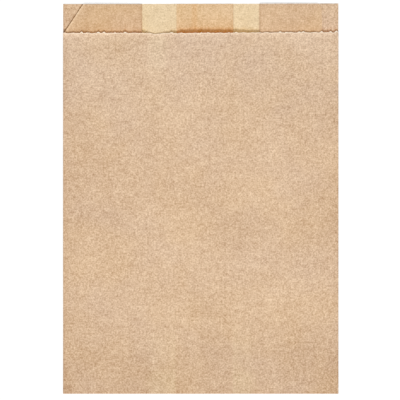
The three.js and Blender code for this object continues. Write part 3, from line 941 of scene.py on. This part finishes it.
class Wiring:
    """Makes and joins the nodes of one material or world."""

    def __init__(self, owner):
        owner.use_nodes = True
        self.owner = owner
        self.nodes = owner.node_tree.nodes
        self.links = owner.node_tree.links
        self.nodes.clear()

    def node(self, kind, **settings):
        made = self.nodes.new(kind)
        for name, value in settings.items():
            setattr(made, name, value)
        return made

    def feed(self, socket, value):
        if isinstance(value, bpy.types.NodeSocket):
            self.links.new(value, socket)
        else:
            socket.default_value = value

    def attribute(self, name, output="Fac"):
        return self.node("ShaderNodeAttribute", attribute_name=name).outputs[output]

    def math(self, operation, a, b=0.0, c=0.0):
        made = self.node("ShaderNodeMath", operation=operation)
        for socket, value in zip(made.inputs, (a, b, c)):
            self.feed(socket, value)
        return made.outputs[0]

    def times(self, a, b):
        return self.math("MULTIPLY", a, b)

    def plus(self, a, b):
        return self.math("ADD", a, b)

    def around(self, noise, strength):
        """A noise from 0 to 1, turned to one about 0 with the given whole swing."""
        return self.math("MULTIPLY_ADD", noise, strength, -strength / 2)

    def scaled(self, vector, scale):
        made = self.node("ShaderNodeVectorMath", operation="MULTIPLY")
        self.feed(made.inputs[0], vector)
        self.feed(made.inputs[1], scale)
        return made.outputs[0]

    def shifted(self, colour, amount, direction):
        """A colour moved along a direction, in light values."""
        made = self.node("ShaderNodeVectorMath", operation="MULTIPLY_ADD")
        self.feed(made.inputs[0], amount)
        self.feed(made.inputs[1], direction)
        self.feed(made.inputs[2], colour)
        return made.outputs[0]

    def noise(self, vector, scale, detail=2.0, roughness=0.5, distortion=0.0):
        made = self.node("ShaderNodeTexNoise")
        self.feed(made.inputs["Vector"], vector)
        for name, value in (("Scale", scale), ("Detail", detail),
                            ("Roughness", roughness), ("Distortion", distortion)):
            made.inputs[name].default_value = value
        return made.outputs["Fac"]

    def cells(self, vector, scale):
        made = self.node("ShaderNodeTexVoronoi")
        self.feed(made.inputs["Vector"], vector)
        made.inputs["Scale"].default_value = scale
        return made.outputs["Distance"]

    def ramp(self, value, low, high, start=0.0, end=1.0):
        made = self.node("ShaderNodeMapRange", clamp=True)
        for socket, given in zip(made.inputs, (value, low, high, start, end)):
            self.feed(socket, given)
        return made.outputs[0]

    def blend(self, share, a, b):
        made = self.node("ShaderNodeMix", data_type="RGBA")
        self.feed(made.inputs["Factor"], share)
        self.feed(made.inputs[6], a)
        self.feed(made.inputs[7], b)
        return made.outputs[2]

    def bump(self, height, distance, strength):
        made = self.node("ShaderNodeBump")
        made.inputs["Strength"].default_value = strength
        made.inputs["Distance"].default_value = distance
        self.feed(made.inputs["Height"], height)
        return made.outputs["Normal"]

    def surface(self, colour, roughness, specular, normal=None):
        shader = self.node("ShaderNodeBsdfPrincipled")
        self.feed(shader.inputs["Base Color"], colour)
        self.feed(shader.inputs["Roughness"], roughness)
        shader.inputs["Specular IOR Level"].default_value = specular
        if normal is not None:
            self.feed(shader.inputs["Normal"], normal)
        out = self.node("ShaderNodeOutputMaterial")
        self.links.new(shader.outputs[0], out.inputs["Surface"])
        return self.owner


def kraft_paper(colours):
    """Brown kraft: a smooth skin and a rough one, with pulp grain, fibres and splinters."""
    w = Wiring(bpy.data.materials.new("kraft_paper"))
    place = w.attribute("web_place", "Vector")
    inner = w.attribute("inner_skin")
    grain = w.noise(place, GRAIN_SCALE, detail=2.0, roughness=0.8)
    warm = w.noise(place, WARM_SCALE, detail=2.0, roughness=0.6, distortion=0.4)
    fine = w.noise(place, FINE_SCALE, detail=2.0, roughness=0.6)
    strands = w.noise(w.scaled(place, STRAND_SCALE), 1.0, detail=2.0, distortion=1.6)
    splinter = w.cells(w.scaled(place, SPLINTER_STRETCH), SPLINTER_SCALE)
    splinter_size = w.noise(place, SPLINTER_PATCHES, detail=1.0)

    one_ply = w.times(w.attribute("one_ply"), inner)
    two_plies = w.times(w.attribute("two_plies"), inner)
    touching = w.times(w.attribute("touching"), TOUCH_SHARE)
    skin = w.blend(inner, linear(colours.outer), linear(colours.inner))
    # Painted light: the inner skin lighter where the table shines through two plies, and lighter
    # still through one
    skin = w.blend(two_plies, skin, linear(colours.double))
    skin = w.blend(w.math("MAXIMUM", one_ply, touching), skin, linear(colours.single))
    stain = w.times(w.attribute("pasted"), STAIN_SHARE)
    skin = w.blend(stain, skin, linear(colours.pasted))
    # Pale torn rim: partly the paper's own colour, partly a painted highlight
    skin = w.blend(w.attribute("rim"), skin, linear(colours.rim))
    # Painted shade along the gusset plies' cut edges
    cut = w.times(w.attribute("cut_edge_shade"), CUT_SHADE_SHARE)
    skin = w.blend(cut, skin, linear(colours.cut_edge_shade))
    # Painted shadow: warm orange on the plies below the front's edge, paler over one ply
    painted_shadow = w.blend(one_ply, linear(colours.painted_shadow), linear(colours.pale_painted_shadow))
    skin = w.blend(painted_shadow_share(w), skin, painted_shadow)

    tone = w.around(grain, GRAIN)
    mottle = [(w.noise(place, scale, detail=0.0), strength) for scale, strength in MOTTLE]
    for noise, strength in (*mottle, (fine, FINE), (strands, STRANDS)):
        tone = w.plus(tone, w.around(noise, strength))
    tone = w.times(tone, w.ramp(inner, 0.0, 1.0, 1.0, INNER_GRAIN))
    # Painted shade and painted highlights: the shade attribute, and the slanted cut's lines
    tone = w.math("SUBTRACT", tone, w.attribute("shade"))
    tone = w.plus(tone, slant_shadow_and_highlight(w))
    skin = w.shifted(skin, tone, TONE_SHIFT)
    skin = w.shifted(skin, w.attribute("pale"), PALE_SHIFT)
    skin = w.shifted(skin, w.around(warm, WARM), WARM_SHIFT)
    reach = w.ramp(splinter_size, 0.5, 0.75, 0.0, SPLINTER_REACH)
    dark = w.times(w.math("LESS_THAN", splinter, reach), SPLINTER_SHARE)
    skin = w.blend(dark, skin, linear(colours.shive))
    skin = w.blend(w.times(w.attribute("torn"), FIBRE_SHARE), skin, linear(colours.fibre))

    rough = w.ramp(inner, 0.0, 1.0, OUTER_ROUGHNESS, INNER_ROUGHNESS)
    rough = w.plus(rough, w.around(grain, ROUGHNESS_SWING))
    height = w.plus(w.times(strands, 0.6), w.times(fine, 0.4))
    normal = w.bump(height, RELIEF, 0.6)
    return w.surface(skin, rough, 0.3, normal)


def below_point(w):
    """How far the front's edge lies below a point, as a negative length."""
    return w.times(w.math("MAXIMUM", w.attribute("above_front"), 0.0), -1.0)


def slant_shadow_and_highlight(w):
    """Painted shadow along the slanted cut, wider at its foot, and a painted highlight right of
    it.
    """
    slant = w.attribute("from_slant")
    foot = w.math("EXPONENT", w.math("DIVIDE", below_point(w), SLANT_FOOT_REACH))
    start = w.math("MULTIPLY_ADD", foot, SLANT_FOOT, SLANT_SHADOW_FROM)
    dark = w.times(w.ramp(slant, start, 0.0, 0.0, SLANT_SHADOW),
                   w.math("LESS_THAN", slant, SLANT_EDGE))
    light = w.times(w.ramp(slant, SLANT_HIGHLIGHT_FROM, SLANT_HIGHLIGHT_TO, SLANT_HIGHLIGHT, 0.0),
                    w.math("GREATER_THAN", slant, SLANT_EDGE))
    return w.plus(dark, light)


def painted_shadow_share(w):
    """How much painted shadow, warm as if lit through the front, a ply takes below the front's
    edge.
    """
    air = w.attribute("air")
    below = below_point(w)
    reach = w.math("MULTIPLY_ADD", air, PAINTED_SHADOW_REACH, PAINTED_SHADOW_LEAST)
    near = w.math("EXPONENT", w.math("POWER", w.math("DIVIDE", below, reach), 3.0))
    wide = w.math("EXPONENT", w.math("DIVIDE", below, PAINTED_SHADOW_WIDE_REACH))
    both = w.plus(w.times(near, PAINTED_SHADOW_NEAR), w.times(wide, PAINTED_SHADOW_WIDE))
    return w.times(both, w.ramp(air, PAINTED_SHADOW_START, PAINTED_SHADOW_END))


def dried_paste(colours):
    w = Wiring(bpy.data.materials.new("dried_paste"))
    place = w.node("ShaderNodeTexCoord").outputs["Object"]
    clot = w.noise(place, 900, detail=3.0)
    colour = w.blend(w.ramp(clot, 0.35, 0.7), linear(colours.paste), linear(colours.pasted))
    rough = w.math("MULTIPLY_ADD", clot, 0.3, 0.3)
    return w.surface(colour, rough, 0.5, w.bump(clot, 0.02 * MM, 0.5))


def bare_fibre(colours):
    w = Wiring(bpy.data.materials.new("bare_fibre"))
    place = w.node("ShaderNodeTexCoord").outputs["Object"]
    shade = w.noise(place, 700, detail=1.0)
    colour = w.blend(w.ramp(shade, 0.35, 0.65), linear(colours.outer), linear(colours.fibre))
    return w.surface(colour, 0.9, 0.2)


# Stage

def white_table(studio):
    w = Wiring(bpy.data.materials.new("white_table"))
    seen = w.node("ShaderNodeLightPath").outputs["Is Camera Ray"]
    place = w.node("ShaderNodeTexCoord").outputs["Object"]
    low, high = studio.table_white, studio.table_white + 0.01
    tint = w.ramp(w.noise(place, 6, detail=1.0), 0.3, 0.7, low, high)
    material = w.surface(tint, 0.9, 0.2)
    shader = w.nodes["Principled BSDF"]
    shader.inputs["Emission Color"].default_value = WHITE
    w.links.new(w.times(seen, studio.table_lift), shader.inputs["Emission Strength"])
    return material


def white_room(studio):
    """Even light from all round, which the camera and mirrors see as plain white."""
    w = Wiring(bpy.data.worlds.new("white_room"))
    rays = w.node("ShaderNodeLightPath").outputs
    seen = rays["Is Camera Ray"]
    for name in ("Is Glossy Ray", "Is Transmission Ray"):
        seen = w.math("MAXIMUM", seen, rays[name])
    shader = w.node("ShaderNodeBackground")
    shader.inputs["Color"].default_value = WHITE
    w.links.new(w.ramp(seen, 0.0, 1.0, studio.fill, 1.0), shader.inputs["Strength"])
    out = w.node("ShaderNodeOutputWorld")
    w.links.new(shader.outputs[0], out.inputs["Surface"])
    return w.owner


# Operators

class KRAFTBAG_OT_fold_sheet(bpy.types.Operator):
    """Fold the web into the bag's plies, lap, gussets and turned-under bottom"""
    bl_idname = "kraftbag.fold_sheet"
    bl_label = "Fold the Sheet"

    def execute(self, context):
        web = FoldedWeb(context.scene.kraft_bag_sizes)
        vertices, faces, attributes = fold_sheet(web)
        material = kraft_paper(context.scene.kraft_bag_colours)
        sheet = new_object("folded_sheet", vertices, faces, material, attributes,
                           sharp_angle=SHARP_ANGLE)
        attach(sheet, BODY)
        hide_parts(CAD_NODE)
        return {"FINISHED"}


class KRAFTBAG_OT_lay_paste(bpy.types.Operator):
    """Lay the dried paste along the lap and under the bottom flap"""
    bl_idname = "kraftbag.lay_paste"
    bl_label = "Lay the Paste"

    def execute(self, context):
        web = FoldedWeb(context.scene.kraft_bag_sizes)
        vertices, faces = paste_beads(web)
        beads = new_object("paste_beads", vertices, faces,
                           dried_paste(context.scene.kraft_bag_colours),
                           sharp_angle=SHARP_ANGLE)
        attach(beads, BODY)
        return {"FINISHED"}


class KRAFTBAG_OT_fray_edge(bpy.types.Operator):
    """Pull single fibres out of the torn edge of the front"""
    bl_idname = "kraftbag.fray_edge"
    bl_label = "Fray the Torn Edge"

    def execute(self, context):
        web = FoldedWeb(context.scene.kraft_bag_sizes)
        vertices, faces = torn_fibres(web, web.size.fibre_count, FIBRE_SEED)
        fibres = new_object("torn_fibres", vertices, faces,
                            bare_fibre(context.scene.kraft_bag_colours))
        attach(fibres, BODY)
        return {"FINISHED"}


class KRAFTBAG_OT_set_stage(bpy.types.Operator):
    """Set up the white table, the lights and the camera above the bag"""
    bl_idname = "kraftbag.set_stage"
    bl_label = "Set the Stage"

    def execute(self, context):
        scene = context.scene
        studio = scene.kraft_bag_studio
        reach = 2.0
        below = -0.02 * MM
        corners = [(-reach, -reach, below), (reach, -reach, below),
                   (reach, reach, below), (-reach, reach, below)]
        table = new_object("table", corners, [[0, 1, 2, 3]], white_table(studio))

        key = bpy.data.lights.new("key", "SUN")
        key.energy = studio.key
        key.angle = studio.key_softness
        lamp = bpy.data.objects.new("key", key)
        towards = Vector((0.0, -math.cos(studio.key_height), math.sin(studio.key_height)))
        lamp.location = towards
        lamp.rotation_euler = towards.to_track_quat("Z", "Y").to_euler()
        scene.collection.objects.link(lamp)

        optics = bpy.data.cameras.new("camera")
        optics.lens = studio.lens
        camera = bpy.data.objects.new("camera", optics)
        distance = studio.frame_width * studio.lens / optics.sensor_width
        camera.location = (studio.aim_x, studio.aim_y, distance)
        scene.collection.objects.link(camera)
        scene.camera = camera
        scene.world = white_room(studio)
        scene.view_settings.view_transform = "Standard"
        return {"FINISHED"}


STEPS = (
    KRAFTBAG_OT_fold_sheet,
    KRAFTBAG_OT_lay_paste,
    KRAFTBAG_OT_fray_edge,
    KRAFTBAG_OT_set_stage,
)


class KRAFTBAG_PT_sidebar(bpy.types.Panel):
    bl_idname = "KRAFTBAG_PT_sidebar"
    bl_label = "Kraft Bag"
    bl_space_type = "VIEW_3D"
    bl_region_type = "UI"
    bl_category = "Kraft Bag"

    def draw(self, context):
        layout = self.layout
        for step in STEPS:
            layout.operator(step.bl_idname)
        scene = context.scene
        for group in (scene.kraft_bag_sizes, scene.kraft_bag_colours, scene.kraft_bag_studio):
            box = layout.box()
            for name in group.bl_rna.properties.keys():
                if name not in {"rna_type", "name"}:
                    box.prop(group, name)


CLASSES = (BagSizes, BagColours, Studio, *STEPS, KRAFTBAG_PT_sidebar)


def register():
    for item in CLASSES:
        bpy.utils.register_class(item)
    bpy.types.Scene.kraft_bag_sizes = bpy.props.PointerProperty(type=BagSizes)
    bpy.types.Scene.kraft_bag_colours = bpy.props.PointerProperty(type=BagColours)
    bpy.types.Scene.kraft_bag_studio = bpy.props.PointerProperty(type=Studio)


def unregister():
    del bpy.types.Scene.kraft_bag_studio
    del bpy.types.Scene.kraft_bag_colours
    del bpy.types.Scene.kraft_bag_sizes
    for item in reversed(CLASSES):
        bpy.utils.unregister_class(item)


def main():
    register()
    bpy.ops.kraftbag.fold_sheet()
    bpy.ops.kraftbag.lay_paste()
    bpy.ops.kraftbag.fray_edge()
    bpy.ops.kraftbag.set_stage()


if __name__ == "__main__":
    main()
